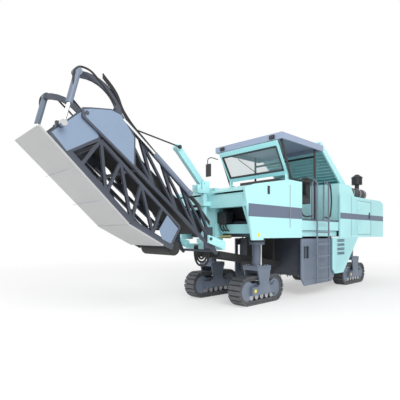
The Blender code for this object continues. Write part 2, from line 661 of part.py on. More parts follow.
def conveyor_rear_belt():
    shaft = CONVEYOR_HALF - 0.05 - GAP
    run = ((1.45, 1.62), (3.55, 3.25))
    pieces = [beam(*run, -0.44, 0.44, 0.16)]
    for t in (0.16, 0.42, 0.655):
        x, z = along(run, t)
        pieces.append(bar((x, -shaft, z), (x, shaft, z), 0.03, 12))
    return node("conveyor_rear_belt", material("belt_rubber", (0.03, 0.03, 0.03)), pieces)


def conveyor_front_frame():
    """Hinged at the fold pin, and at rest folded back under the rear section."""
    upper = ((2.14, 1.69), (3.75, 3.04))
    x, z = FOLD_PIN
    inner = CONVEYOR_HALF - 0.05
    def side_frame(side):
        y = span(side, inner, CONVEYOR_HALF)
        return [
            beam(*upper, *y, 0.06), beam(*OUTER_BEAM, *y, BEAM_HEIGHT), beam(*BENT_BEAM, *y, BEAM_HEIGHT),
            beam(upper[0], (2.36, 1.34), *y, 0.06), beam((2.55, 2.03), (2.75, 1.57), *y, 0.05),
            beam((2.75, 1.57), (3.00, 2.41), *y, 0.05), beam((3.00, 2.41), (3.19, 1.76), *y, 0.05),
            beam((3.19, 1.76), (3.40, 2.74), *y, 0.05), beam((3.40, 2.74), (3.66, 2.20), *y, 0.05),
            beam((3.66, 2.20), upper[1], *y, 0.05), beam(upper[1], (4.08, 2.60), *y, 0.05),
            prism([upper[1], (x - 0.06, z + 0.05), (x + 0.06, z + 0.06), (4.56, 3.00), (4.30, 2.74)], *y),
            bar((x, side * (inner + 0.02), z), (x, side * (CONVEYOR_HALF + 0.055), z), 0.034, 20),
            bar((x, side * (inner + 0.02), z), (x, side * (CONVEYOR_HALF + CLEAR - GAP), z), 0.055, 20),
            bar((ROD_EYE[0], side * inner, ROD_EYE[1]), (ROD_EYE[0], side * (CONVEYOR_HALF + 0.07), ROD_EYE[1]), EYE_RADIUS, 20),
            prism([(4.28, 3.10), (4.46, 3.10), (4.46, 3.20), (4.34, 3.21)], *y),
        ]
    pieces = both_sides(side_frame)
    for bx, bz in ((2.18, 1.66), (3.30, 2.60), (3.72, 3.00), (4.10, 3.10)):
        pieces.append(bar((bx, -inner - 0.02, bz), (bx, inner + 0.02, bz), 0.028, 12))
    return node("conveyor_front_frame", material("slate", (0.20, 0.26, 0.38)), pieces)


def conveyor_front_belt():
    x, z = HEAD_DRUM
    shaft = CONVEYOR_HALF - 0.05 - GAP
    straight = shifted(OUTER_BEAM, -0.03, 0.05, -0.10)
    return node("conveyor_front_belt", material("belt_rubber", (0.03, 0.03, 0.03)), [
        beam((x, z), straight[0], -0.43, 0.43, 0.10),
        beam(*straight, -0.43, 0.43, 0.10),
        bar((x, -0.45, z), (x, 0.45, z), 0.145, 32),
        bar((2.40, -shaft, 1.36), (2.40, shaft, 1.36), 0.03, 12),
    ])


def conveyor_covers():
    """The light covers under the folded section, which lie over its belt once it is unfolded."""
    thick = 0.03
    lift = BEAM_HEIGHT / 2 + GAP + thick / 2
    return node("conveyor_covers", material("cover_grey", (0.33, 0.34, 0.35)), [
        beam(*shifted(OUTER_BEAM, lift, -0.02, 0.20), -CONVEYOR_HALF, CONVEYOR_HALF, thick),
        beam(*shifted(BENT_BEAM, lift, -0.22, 0.04), -CONVEYOR_HALF, CONVEYOR_HALF, thick),
    ])


def fold_cylinder(name, side):
    y = side * (CONVEYOR_HALF + 0.12)
    (xa, za), (xb, zb) = TOWER_PIN, ROD_EYE
    middle = (xa + 0.62 * (xb - xa), za + 0.62 * (zb - za))
    barrel = node("fold_barrel_" + name, material("black", (0.03, 0.03, 0.03)), [
        bar((xa, y, za), (middle[0], y, middle[1]), 0.05, 20),
        bar((xa, y - side * (0.06 - GAP), za), (xa, y + side * 0.04, za), 0.06, 20),
    ], [bar((middle[0] - 0.05 * (xb - xa), y, middle[1] - 0.05 * (zb - za)), (xb, y, zb), 0.028, 20),
        bar((xa + 0.15 * (xb - xa), y, za + 0.15 * (zb - za)), (xb, y, zb), 0.028, 20)])
    start = (xa + 0.18 * (xb - xa), za + 0.18 * (zb - za))
    node("fold_rod_" + name, material("chrome", (0.8, 0.8, 0.8)), [
        bar((start[0], y, start[1]), (xb, y, zb), 0.028 - GAP, 20),
        bar((xb, y - 0.035, zb), (xb, y + 0.035, zb), 0.05, 20),
    ])
    return barrel


def luffing_arm():
    return node("luffing_arm", material("teal", (0.37, 0.64, 0.67)), [
        beam(ARM_PIN, ARM_TIP, -0.048 + GAP, 0.048 - GAP, 0.14),
        bar((ARM_PIN[0], -0.075, ARM_PIN[1]), (ARM_PIN[0], 0.075, ARM_PIN[1]), 0.02, 16),
        bar((ARM_TIP[0], -0.065, ARM_TIP[1]), (ARM_TIP[0], 0.065, ARM_TIP[1]), 0.07, 16),
    ])


def tie_rope():
    y = 0.085 + GAP
    (xa, za), (xb, zb) = ARM_TIP, TIE_PIN
    return node("tie_rope", material("black", (0.03, 0.03, 0.03)), [
        bar((xa, y, za), (xb, y, zb), 0.015, 10),
        bar((xa, y - 0.02, za), (xa, y + 0.02, za), 0.04, 16),
        bar((xb, y - 0.02, zb), (xb, y + 0.02, zb), 0.04, 16),
    ])


CHASSIS = (
    main_frame, front_crossbeam, front_hood, engine_hood, rear_wall, rear_door, engine_block, deck,
    front_wall, canopy_roof, roof_posts, rear_screen, seat, console, air_cleaner,
    drum_housing, milling_drum, moldboard, primary_conveyor,
    slew_frame, conveyor_rear_frame, conveyor_rear_belt, conveyor_front_frame,
    conveyor_front_belt, conveyor_covers, luffing_arm, tie_rope,
)
SIDED = (side_panel, rear_panel, service_door, skirt, side_plate, ladder, fold_cylinder)


def centre_model():
    for obj in bpy.context.scene.collection.objects:
        obj.data.transform(Matrix.Translation((ORIGIN_X, 0, 0)))


def main():
    clear_scene()
    for name, (x, side) in LEGS.items():
        track(name, x, side)
        leg(name, x, side)
    for make in CHASSIS:
        make()
    for make in SIDED:
        make("left", 1)
        make("right", -1)
    centre_model()


main()
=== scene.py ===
"""Looks for the cold planer: materials, trim, hoses, glass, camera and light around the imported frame."""

import math

import bmesh
import bpy
from mathutils import Matrix, Vector


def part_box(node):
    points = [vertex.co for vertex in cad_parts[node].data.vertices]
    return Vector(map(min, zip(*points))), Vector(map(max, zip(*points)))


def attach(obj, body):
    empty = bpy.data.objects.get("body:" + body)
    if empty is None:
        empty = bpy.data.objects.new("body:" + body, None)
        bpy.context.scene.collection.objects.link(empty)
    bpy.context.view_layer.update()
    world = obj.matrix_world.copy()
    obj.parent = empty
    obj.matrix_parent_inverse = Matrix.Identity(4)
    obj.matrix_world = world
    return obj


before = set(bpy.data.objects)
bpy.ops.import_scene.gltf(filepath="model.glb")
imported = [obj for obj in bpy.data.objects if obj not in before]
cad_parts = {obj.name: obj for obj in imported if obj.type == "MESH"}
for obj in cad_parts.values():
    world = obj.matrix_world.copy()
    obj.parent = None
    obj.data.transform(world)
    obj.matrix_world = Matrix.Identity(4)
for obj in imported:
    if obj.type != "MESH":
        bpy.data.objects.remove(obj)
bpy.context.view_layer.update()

LEFT, RIGHT = 1, -1
SIDES = {"left": LEFT, "right": RIGHT}
LEG_X = sum(corner.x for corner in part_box("leg_front_left")) / 2
PANEL_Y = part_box("front_panel_left")[1].y
CRAWLERS = ("front_left", "front_right", "rear_left", "rear_right")
YOKE_TOP_Z, IDLER_Z = 0.85, 0.315
DRUM_X, DRUM_Z, DRUM_RADIUS = -2.37, 0.80, 0.395
CLEANER_Z = 2.92
LADDER_X = (-1.81, -2.41)  # its two stiles
LADDER_Y, RAIL_Y = 1.22, 1.08
SCREEN_FOOT, SCREEN_HEAD = (-0.93, 3.01), (-0.48, 3.75)  # (x, z) of the leaning front wall


def at(x, y, z):
    """A place given from the front leg axis."""
    return Vector((LEG_X + x, y, z))


# ---------------------------------------------------------------- materials


def new_material(name):
    made = bpy.data.materials.new(name)
    made.use_nodes = True
    nodes = made.node_tree.nodes
    return made, nodes, made.node_tree.links, nodes["Principled BSDF"]


def add_noise(nodes, links, scale, detail=4.0):
    place = nodes.new("ShaderNodeTexCoord")
    noise = nodes.new("ShaderNodeTexNoise")
    noise.inputs["Scale"].default_value = scale
    noise.inputs["Detail"].default_value = detail
    links.new(place.outputs["Object"], noise.inputs["Vector"])
    return noise.outputs["Fac"]


def between(nodes, links, fac, low, high):
    """A ramp of colours driven by a value."""
    ramp = nodes.new("ShaderNodeValToRGB")
    ramp.color_ramp.elements[0].position, ramp.color_ramp.elements[1].position = 0.35, 0.65
    ramp.color_ramp.elements[0].color = (*low, 1)
    ramp.color_ramp.elements[1].color = (*high, 1)
    links.new(fac, ramp.inputs["Fac"])
    return ramp.outputs["Color"]


def add_bump(nodes, links, shader, height, strength, distance):
    bump = nodes.new("ShaderNodeBump")
    bump.inputs["Strength"].default_value = strength
    bump.inputs["Distance"].default_value = distance
    links.new(height, bump.inputs["Height"])
    links.new(bump.outputs["Normal"], shader.inputs["Normal"])


def surface(name, colour, rough, metal=0.0, vary=0.06, grain=40.0, bump=0.15, dust=0.0, coat=0.0):
    """Paint, rubber, plastic or metal: cloudy colour, a fine grain, worn edges, and dust low down."""
    made, nodes, links, shader = new_material(name)
    dark = tuple(c * (1 - vary) for c in colour)
    light = tuple(min(c * (1 + vary), 1.0) for c in colour)
    tint = between(nodes, links, add_noise(nodes, links, 1.7), dark, light)
    geometry = nodes.new("ShaderNodeNewGeometry")
    edge = nodes.new("ShaderNodeMapRange")
    edge.inputs["From Min"].default_value, edge.inputs["From Max"].default_value = 0.53, 0.60
    edge.inputs["To Max"].default_value = 0.35
    links.new(geometry.outputs["Pointiness"], edge.inputs["Value"])
    worn = nodes.new("ShaderNodeMix")
    worn.data_type = "RGBA"
    worn.inputs["B"].default_value = (*(min(c * 1.5 + 0.04, 1) for c in colour), 1)
    links.new(edge.outputs["Result"], worn.inputs["Factor"])
    links.new(tint, worn.inputs["A"])
    result = worn.outputs["Result"]
    if dust:
        height = nodes.new("ShaderNodeSeparateXYZ")
        links.new(geometry.outputs["Position"], height.inputs["Vector"])
        low = nodes.new("ShaderNodeMapRange")
        low.inputs["From Min"].default_value, low.inputs["From Max"].default_value = 1.1, 0.0
        low.inputs["To Max"].default_value = dust
        links.new(height.outputs["Z"], low.inputs["Value"])
        patchy = nodes.new("ShaderNodeMath")
        patchy.operation = "MULTIPLY"
        links.new(low.outputs["Result"], patchy.inputs[0])
        links.new(add_noise(nodes, links, 9.0), patchy.inputs[1])
        dusty = nodes.new("ShaderNodeMix")
        dusty.data_type = "RGBA"
        dusty.inputs["B"].default_value = (0.30, 0.29, 0.27, 1)
        links.new(patchy.outputs["Value"], dusty.inputs["Factor"])
        links.new(result, dusty.inputs["A"])
        result = dusty.outputs["Result"]
    links.new(result, shader.inputs["Base Color"])
    fine = add_noise(nodes, links, grain, 6.0)
    spread = nodes.new("ShaderNodeMapRange")
    spread.inputs["To Min"].default_value, spread.inputs["To Max"].default_value = rough - 0.07, rough + 0.07
    links.new(fine, spread.inputs["Value"])
    links.new(spread.outputs["Result"], shader.inputs["Roughness"])
    shader.inputs["Metallic"].default_value = metal
    shader.inputs["Coat Weight"].default_value = coat
    add_bump(nodes, links, shader, fine, bump, 0.002)
    return made


def glass():
    """Thin tinted glass, mostly clear."""
    made, nodes, links, shader = new_material("window_glass")
    shader.inputs["Base Color"].default_value = (0.30, 0.40, 0.42, 1)
    shader.inputs["Roughness"].default_value = 0.04
    shader.inputs["Alpha"].default_value = 0.22
    add_bump(nodes, links, shader, add_noise(nodes, links, 2.0), 0.05, 0.002)
    return made


TEAL = surface("teal_paint", (0.355, 0.700, 0.735), 0.36, vary=0.03, bump=0.05, coat=0.25)
SLATE = surface("slate_paint", (0.130, 0.165, 0.225), 0.45, vary=0.06, bump=0.08, dust=0.2)
STRIPE = surface("stripe_paint", (0.100, 0.130, 0.195), 0.40, vary=0.03, bump=0.05)
ROOF = surface("roof_paint", (0.235, 0.290, 0.400), 0.42, vary=0.04, bump=0.06)
GREY = surface("chassis_paint", (0.045, 0.055, 0.075), 0.50, vary=0.10, bump=0.10, dust=0.35)
COVER = surface("cover_paint", (0.345, 0.350, 0.352), 0.55, vary=0.03, bump=0.08)
# Black plastic, and also the painted shade in the space behind the crossbeam.
BLACK = surface("black_plastic", (0.012, 0.013, 0.016), 0.42, vary=0.2, bump=0.12)
TRACK = surface("track_steel", (0.050, 0.057, 0.070), 0.55, metal=0.3, vary=0.25, bump=0.35, dust=0.5)
BELT = surface("belt_rubber", (0.014, 0.014, 0.015), 0.72, vary=0.25, grain=90, bump=0.3)
HOSE = surface("hose_rubber", (0.010, 0.010, 0.011), 0.48, vary=0.2, grain=160, bump=0.25)
BEAMS = surface("beam_paint", (0.042, 0.051, 0.072), 0.45, vary=0.08, bump=0.08, dust=0.15)
PLATES = surface("plate_paint", (0.165, 0.225, 0.320), 0.42, vary=0.05, bump=0.06)
CHROME = surface("rod_chrome", (0.78, 0.79, 0.80), 0.12, metal=1.0, vary=0.03, bump=0.02)
BRIGHT = surface("bright_steel", (0.52, 0.53, 0.55), 0.32, metal=0.9, vary=0.08, bump=0.08)
CAST = surface("tool_steel", (0.20, 0.19, 0.18), 0.60, metal=0.6, vary=0.3, bump=0.5, dust=0.4)
CARBIDE = surface("carbide_tips", (0.40, 0.39, 0.37), 0.35, metal=0.9, vary=0.1, bump=0.2)
BRASS = surface("brass_fitting", (0.62, 0.47, 0.20), 0.33, metal=0.9, vary=0.1, bump=0.1)
YELLOW = surface("reflector_yellow", (0.80, 0.62, 0.06), 0.30, vary=0.05, grain=250, bump=0.4)
VINYL = surface("seat_vinyl", (0.018, 0.019, 0.022), 0.50, vary=0.1, grain=320, bump=0.35)
GLASS = glass()

NODE_LOOKS = {
    "track_": TRACK, "leg_": SLATE, "ladder_": SLATE, "side_plate_": SLATE, "drum_housing": GREY,
    "main_frame": GREY, "moldboard": GREY, "engine_block": GREY, "canopy_roof": ROOF,
    "conveyor_rear_frame": BEAMS, "conveyor_front_frame": BEAMS, "conveyor_covers": COVER,
    "operator_deck": GREY, "roof_posts": BLACK, "operator_seat": VINYL, "control_console": BLACK,
    "air_cleaner": BLACK, "fold_barrel_": SLATE, "fold_rod_": CHROME, "tie_rope": BLACK,
    "primary_conveyor": BELT, "conveyor_rear_belt": BELT, "conveyor_front_belt": BELT,
    "milling_drum": CAST,
}


def dress_nodes():
    for name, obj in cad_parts.items():
        look = next((NODE_LOOKS[k] for k in NODE_LOOKS if name.startswith(k)), TEAL)
        obj.data.materials.clear()
        obj.data.materials.append(look)


# ---------------------------------------------------------------- pieces


def piece(name, bm, look, body, bevel=0.0):
    bmesh.ops.recalc_face_normals(bm, faces=bm.faces)
    mesh = bpy.data.meshes.new(name)
    bm.to_mesh(mesh)
    bm.free()
    obj = bpy.data.objects.new(name, mesh)
    bpy.context.scene.collection.objects.link(obj)
    mesh.materials.append(look)
    if bevel:
        step = obj.modifiers.new("bevel", "BEVEL")
        step.width, step.segments, step.limit_method = bevel, 2, "ANGLE"
    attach(obj, body)
    return obj


def add_box(bm, low, high):
    low, high = Vector(low), Vector(high)
    place = Matrix.Translation((low + high) / 2) @ Matrix.Diagonal((*(high - low), 1.0))
    bmesh.ops.create_cube(bm, size=1.0, matrix=place)


def add_bar(bm, start, end, radius, sides=12, radius2=None):
    start, end = Vector(start), Vector(end)
    line = end - start
    place = Matrix.Translation((start + end) / 2) @ line.to_track_quat("Z", "Y").to_matrix().to_4x4()
    bmesh.ops.create_cone(
        bm, cap_ends=True, segments=sides, radius1=radius,
        radius2=radius if radius2 is None else radius2, depth=line.length, matrix=place,
    )


def boxes(name, corners, look, body, bevel=0.003):
    bm = bmesh.new()
    for low, high in corners:
        pairs = [sorted(pair) for pair in zip(low, high)]
        add_box(bm, [pair[0] for pair in pairs], [pair[1] for pair in pairs])
    return piece(name, bm, look, body, bevel)


def bars(name, lines, radius, look, body, sides=14, bevel=0.0):
    bm = bmesh.new()
    for start, end in lines:
        add_bar(bm, start, end, radius, sides)
    return piece(name, bm, look, body, bevel)


def add_slab(bm, rings):
    """A flat sheet between two matching rings of points."""
    near, far = [[bm.verts.new(point) for point in ring] for ring in rings]
    bm.faces.new(near)
    bm.faces.new(far[::-1])
    for i in range(len(near)):
        j = (i + 1) % len(near)
        bm.faces.new((near[i], far[i], far[j], near[j]))


def hose(name, points, radius, look, body):
    """A smooth bent tube through some points, fixed at both ends."""
    curve = bpy.data.curves.new(name, "CURVE")
    curve.dimensions, curve.bevel_depth, curve.bevel_resolution = "3D", radius, 3
    curve.resolution_u, curve.use_fill_caps = 8, True
    spline = curve.splines.new("BEZIER")
    spline.bezier_points.add(len(points) - 1)
    for knot, place in zip(spline.bezier_points, points):
        knot.co = place
        knot.handle_left_type = knot.handle_right_type = "AUTO"
    curve.materials.append(look)
    obj = bpy.data.objects.new(name, curve)
    bpy.context.scene.collection.objects.link(obj)
    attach(obj, body)
    return obj


# ---------------------------------------------------------------- body trim

# Name, rear and front end, lower and upper edge
STRIPE_BANDS = (
    ("front", -1.21, 0.83, 1.92, 2.185),
    ("mid", -4.355, -3.24, 2.0, 2.167),
    ("rear", -6.44, -5.365, 2.0, 2.167),
)
DOOR_STRIPE = (-5.355, -4.365, 2.0, 2.167)


def stripes():
    for side_name, side in SIDES.items():
        inner, outer = side * (PANEL_Y + 0.0005), side * (PANEL_Y + 0.003)
        for name, x0, x1, z0, z1 in STRIPE_BANDS:
            boxes(f"stripe_{name}_{side_name}", [(at(x0, inner, z0), at(x1, outer, z1))], STRIPE, "machine",
                  0.0008)
        x0, x1, z0, z1 = DOOR_STRIPE
        boxes(f"stripe_door_{side_name}", [(at(x0, inner, z0), at(x1, outer, z1))], STRIPE,
              f"service_door_{side_name}", 0.0008)


def panel_seams():
    """Dark strips beside the service doors, with the door handles and the latch pockets."""
    for side_name, side in SIDES.items():
        strips = [
            (at(x, side * (PANEL_Y - 0.002), 1.48), at(x + 0.012, side * (PANEL_Y + 0.002), 2.67))
            for x in (-3.95, -5.40)
        ]
        boxes(f"panel_seams_{side_name}", strips, BLACK, "machine", 0.001)
        handle = [(at(-5.28, side * PANEL_Y, 2.05), at(-5.22, side * (PANEL_Y + 0.02), 2.25))]
        boxes(f"door_handle_{side_name}", handle, BLACK, f"service_door_{side_name}", 0.006)
        latch = [(at(0.11, side * PANEL_Y, 2.42), at(0.19, side * (PANEL_Y + 0.012), 2.60))]
        boxes(f"latch_pocket_{side_name}", latch, BLACK, "machine", 0.008)


def panel_chains():
    """Short link chains that hold the locking pins."""
    links, pitch, length = 22, 0.045, 0.05
    for side_name, side in SIDES.items():
        bm = bmesh.new()
        for i in range(links):
            top = at(-0.68, side * (PANEL_Y + 0.012), 2.70 - pitch * i)
            turn = Vector((0.008, 0, 0)) if i % 2 else Vector((0, 0.006, 0))
            for end in (-1, 1):
                add_bar(bm, top + turn * end, top + turn * end - Vector((0, 0, length)), 0.0035, 6)
        piece(f"pin_chain_{side_name}", bm, BRIGHT, "machine")


def skirt_louvres():
    """Four rows of five slats in each skirt's slots."""
    for side_name, side in SIDES.items():
        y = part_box(f"skirt_{side_name}")[1 if side > 0 else 0].y
        slats = []
        for i in range(4):
            for j in range(5):
                z = 1.415 - 0.12 * i - 0.016 * j
                slats.append((at(-3.49, y - side * 0.018, z - 0.004), at(-3.06, y - side * 0.004, z + 0.001)))
        boxes(f"skirt_louvres_{side_name}", slats, SLATE, "machine", 0.001)


def window():
    """The windscreen in the leaning front wall, in its black seal, with its wiper."""
    foot, head = at(SCREEN_FOOT[0], 0, SCREEN_FOOT[1]), at(SCREEN_HEAD[0], 0, SCREEN_HEAD[1])
    up = (head - foot).normalized()
    across = Vector((0, 1, 0))
    out = across.cross(up)
    half, bottom, top = 0.86, 0.117, 0.726
    seal, thin = 0.030, 0.003

    def corner(u, v, w):
        return foot + across * u + up * v + out * w

    ring = [(-half, bottom), (half, bottom), (half, top), (-half, top)]
    bm = bmesh.new()
    for (u0, v0), (u1, v1) in zip(ring, ring[1:] + ring[:1]):
        add_bar(bm, corner(u0, v0, 0), corner(u1, v1, 0), seal, 10)
        bmesh.ops.create_uvsphere(bm, u_segments=10, v_segments=8, radius=seal,
                                  matrix=Matrix.Translation(corner(u0, v0, 0)))
    piece("windscreen_seal", bm, BLACK, "machine")
    bm = bmesh.new()
    add_slab(bm, [[corner(u, v, w) for u, v in ring] for w in (-thin, thin)])
    piece("windscreen", bm, GLASS, "machine")
    bars("wiper", [(corner(0.1, bottom, 0.03), corner(-0.35, top - 0.12, 0.03))], 0.008, BLACK, "machine")


def roof_trim():
    low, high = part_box("canopy_roof")
    ribs = [((x, low.y + 0.12, high.z), (x + 0.05, high.y - 0.12, high.z + 0.012)) for x in
            (low.x + 0.3 * i for i in range(1, 6))]
    boxes("roof_ribs", ribs, ROOF, "machine", 0.005)
    lenses = [
        ((high.x, y - 0.07, low.z + 0.02), (high.x + 0.045, y + 0.07, low.z + 0.11))
        for y in (-0.8, 0.8)
    ]
    boxes("roof_lamps", lenses, BLACK, "machine", 0.012)


def seat_cushions():
    low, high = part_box("operator_seat")
    mid = (low.y + high.y) / 2
    # Two corners and the width of the rounded edge
    parts = {
        "seat_base": (
            (low.x + 0.10, mid - 0.25, low.z + 0.50), (high.x + 0.02, mid + 0.25, low.z + 0.62), 0.05,
        ),
        "seat_back": (
            (low.x - 0.01, mid - 0.24, low.z + 0.58), (low.x + 0.13, mid + 0.24, high.z), 0.055,
        ),
    }
    for name, (start, end, soft) in parts.items():
        made = boxes(name, [(start, end)], VINYL, "machine", soft)
        made.modifiers["bevel"].segments = 5


def console_detail():
    """A row of levers over a row of knobs."""
    low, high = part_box("control_console")
    count, margin = 8, 0.14
    bm = bmesh.new()
    for i in range(count):
        y = low.y + margin + i * (high.y - low.y - 2 * margin) / (count - 1)
        add_bar(bm, (low.x + 0.08, y, high.z), (low.x + 0.08, y, high.z + 0.05), 0.012, 10)
        add_bar(bm, (low.x + 0.20, y, high.z), (low.x + 0.20, y, high.z + 0.012), 0.022, 14)
    piece("console_controls", bm, BRIGHT, "machine")


def air_cleaner_trim():
    """The clamp bands, and the hose down to the engine."""
    low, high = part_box("air_cleaner")
    y, z = (low.y + high.y) / 2, CLEANER_Z
    bm = bmesh.new()
    for x in (low.x + 0.10, low.x + 0.45, high.x - 0.14):
        add_bar(bm, (x, y, z), (x + 0.03, y, z), 0.19, 32)
    piece("air_cleaner_bands", bm, BRIGHT, "machine")
    route = [at(-5.0, y, z), at(-4.8, y, z), at(-4.66, y, z - 0.06), at(-4.62, y, 2.68)]
    hose("intake_hose", route, 0.085, HOSE, "machine")


def ladder_grips():
    """The bright treads, and the handrails on the deck beside each stile."""
    for side_name, side in SIDES.items():
        y = side * LADDER_Y
        treads = []
        for i in range(6):
            z = 0.416 + 0.30 * i
            treads += [(at(x, y - 0.025, z), at(x + 0.02, y + 0.025, z + 0.006)) for x in
                       (-2.36 + 0.06 * k for k in range(9))]
        boxes(f"ladder_treads_{side_name}", treads, BRIGHT, "machine", 0.001)
        for i, (x, reach) in enumerate(zip(LADDER_X, (0.42, -0.32))):
            outline = ((x, 2.02), (x + reach, 2.02), (x + reach * 1.2, 2.10),
                       (x + reach * 1.2, 2.85), (x + reach, 2.93), (x, 2.93))
            rail = [at(px, side * RAIL_Y, pz) for px, pz in outline]
            hose(f"handrail_{side_name}_{i}", rail, 0.020, BLACK, "machine")


def mirror():
    arm = [at(-0.50, -1.0, 3.60), at(-0.30, -1.15, 3.62), at(-0.28, -1.18, 3.45)]
    hose("mirror_arm", arm, 0.012, BLACK, "machine")
    head = [(at(-0.31, -1.24, 3.12), at(-0.26, -1.06, 3.47))]
    boxes("mirror_head", head, BLACK, "machine", 0.02)


# ---------------------------------------------------------------- crawlers


def track_rollers(name, x, y):
    bm = bmesh.new()
    for dx in (-0.36, -0.18, 0.0, 0.18, 0.36):
        for inner, outer in ((0.075, 0.135), (-0.135, -0.075)):
            add_bar(bm, (x + dx, y + inner, 0.165), (x + dx, y + outer, 0.165), 0.062, 20)
    piece("track_rollers_" + name, bm, BRIGHT, "crawler_" + name, 0.004)


def drive_cover(name, x, y, side):
    """The drive motor's round cover in the rear idler, with its ring of bolts."""
    bolts, ring = 8, 0.12
    bm = bmesh.new()
    add_bar(bm, (x, y + side * 0.12, IDLER_Z), (x, y + side * 0.165, IDLER_Z), 0.15, 32)
    for k in range(bolts):
        angle = 2 * math.pi * k / bolts
        px, pz = x + ring * math.cos(angle), IDLER_Z + ring * math.sin(angle)
        add_bar(bm, (px, y + side * 0.16, pz), (px, y + side * 0.176, pz), 0.011, 6)
    piece("drive_cover_" + name, bm, SLATE, "crawler_" + name, 0.003)


def yoke_bolts(name, x, y):
    bm = bmesh.new()
    for dx in (-0.18, -0.09, 0.09, 0.18):
        for dy in (-0.16, 0.16):
            add_bar(bm, (x + dx, y + dy, YOKE_TOP_Z), (x + dx, y + dy, YOKE_TOP_Z + 0.016), 0.013, 6)
    piece("yoke_bolts_" + name, bm, BRIGHT, "crawler_" + name)


def crawler_trim():
    for name in CRAWLERS:
        low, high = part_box("track_" + name)
        x, y = (low.x + high.x) / 2, (low.y + high.y) / 2
        side = LEFT if y > 0 else RIGHT
        track_rollers(name, x, y)
        face = y + side * 0.208
        reflector = [((x + 0.28, face, 0.28), (x + 0.35, face + side * 0.004, 0.35))]
        boxes("reflector_" + name, reflector, YELLOW, "crawler_" + name, 0.001)
        drive_cover(name, x - 0.485, y, side)
        yoke_bolts(name, x, y)
        rod = [((x + 0.03, y + side * 0.14, YOKE_TOP_Z + 0.01), (x + 0.03, y + side * 0.14, 1.36))]
        bars("height_rod_" + name, rod, 0.014, CHROME, "crawler_" + name)


# ---------------------------------------------------------------- milling drum


def pick_tips():
    """Picks in three spirals that run inwards from both ends."""
    count, width, turn = 96, 1.78, 900
    bm = bmesh.new()
    for i in range(count):
        y = ((i + 0.5) / count - 0.5) * width
        angle = math.radians(abs(y) * turn + (i % 3) * 120)
        out = Vector((math.cos(angle), 0, math.sin(angle)))
        foot = at(DRUM_X, y, DRUM_Z) + out * DRUM_RADIUS
        add_bar(bm, foot, foot + out * 0.055, 0.026, 8)
        add_bar(bm, foot + out * 0.05, foot + out * 0.088, 0.014, 8, 0.003)
    piece("pick_tips", bm, CARBIDE, "milling_drum")


# ---------------------------------------------------------------- conveyor


def chevrons(name, body, start, end, half, lift, rows):
    """Moulded V ribs along a belt between two (x, z) points, standing lift off its centre line."""
    first, last = at(start[0], 0, start[1]), at(end[0], 0, end[1])
    run = (last - first).normalized()
    out = Vector((0, 1, 0)).cross(run)
    bm = bmesh.new()
    for i in range(rows):
        tip = first + (last - first) * (i + 0.5) / rows + out * lift
        for side in (-1, 1):
            add_bar(bm, tip, tip + Vector((0, side * half, 0)) - run * 0.10, 0.012, 6)
    return piece(name, bm, BELT, body)


def tension_cylinder(side_name, side):
    y = side * 0.60
    bm = bmesh.new()
    add_bar(bm, at(1.95, y, 2.36), at(2.75, y, 2.97), 0.045, 20)
    add_bar(bm, at(1.90, y, 2.32), at(1.96, y, 2.37), 0.055, 20)
    piece(f"tension_barrel_{side_name}", bm, SLATE, "conveyor_rear")
    rod = [(at(2.74, y, 2.965), at(3.38, y, 3.45))]
    bars(f"tension_rod_{side_name}", rod, 0.022, CHROME, "conveyor_rear")


# (x, y, z) on the left side
LONG_HOSE = (
    (1.30, 0.50, 1.75), (2.0, 0.565, 2.38), (2.8, 0.57, 3.02),
    (3.35, 0.575, 3.52), (3.52, 0.615, 3.78), (3.76, 0.615, 4.01),
)
FOLD_HOSE = (
    (3.55, 0.66, 3.62), (3.86, 0.70, 3.90), (4.05, 0.70, 4.02),
    (4.22, 0.70, 3.98), (4.27, 0.70, 3.70), (4.30, 0.70, 3.52),
)


def conveyor_hoses(side_name, side):
    for k in range(3):
        route = [at(x, side * y, z + 0.03 * k) for x, y, z in LONG_HOSE]
        hose(f"conveyor_hose_{side_name}_{k}", route, 0.013, HOSE, "conveyor_rear")
    loop = [at(x, side * y, z) for x, y, z in FOLD_HOSE]
    hose(f"fold_hose_{side_name}", loop, 0.016, HOSE, "conveyor_rear")


def cover_seams():
    """The two joins across the covers of the front section."""
    first, last = at(3.24, 0, 1.71), at(4.65, 0, 3.03)
    out = Vector((0, 1, 0)).cross((last - first).normalized()) * 0.082
    half = Vector((0, 0.5, 0))
    bm = bmesh.new()
    for t in (0.33, 0.67):
        middle = first + (last - first) * t + out
        add_bar(bm, middle - half, middle + half, 0.003, 6)
    piece("cover_seams", bm, SLATE, "conveyor_front")


def conveyor_trim():
    chevrons("rear_belt_ribs", "conveyor_rear", (1.50, 1.66), (3.50, 3.21), 0.38, -0.082, 16)
    chevrons("front_belt_ribs", "conveyor_front", (3.30, 1.90), (4.30, 2.84), 0.38, -0.052, 8)
    for side_name, side in SIDES.items():
        tension_cylinder(side_name, side)
        conveyor_hoses(side_name, side)
    cover_seams()


# Name, body, distance of the beam's outer face from the middle, and outline (x, z)
BEAM_PLATES = (
    ("tower_plate", "conveyor_rear", 0.600,
     [(3.18, 2.72), (4.02, 3.33), (4.06, 3.44), (3.94, 3.48), (3.60, 3.54), (3.42, 3.50), (3.18, 3.19)]),
    ("hinge_plate", "conveyor_front", 0.550,
     [(3.79, 3.08), (3.96, 3.43), (4.05, 3.44), (4.52, 3.02), (4.30, 2.78)]),
    ("foot_plate", "conveyor_front", 0.550,
     [(2.18, 1.66), (2.36, 1.38), (2.56, 1.47), (2.62, 1.64), (2.44, 1.90)]),
)


def conveyor_plates():
    """The light plates on the outer faces of the dark side beams."""
    for side_name, side in SIDES.items():
        for name, body, face, outline in BEAM_PLATES:
            rings = [[at(x, side * (face + lift), z) for x, z in outline] for lift in (0.0003, 0.003)]
            bm = bmesh.new()
            add_slab(bm, rings)
            piece(f"{name}_{side_name}", bm, PLATES, body)


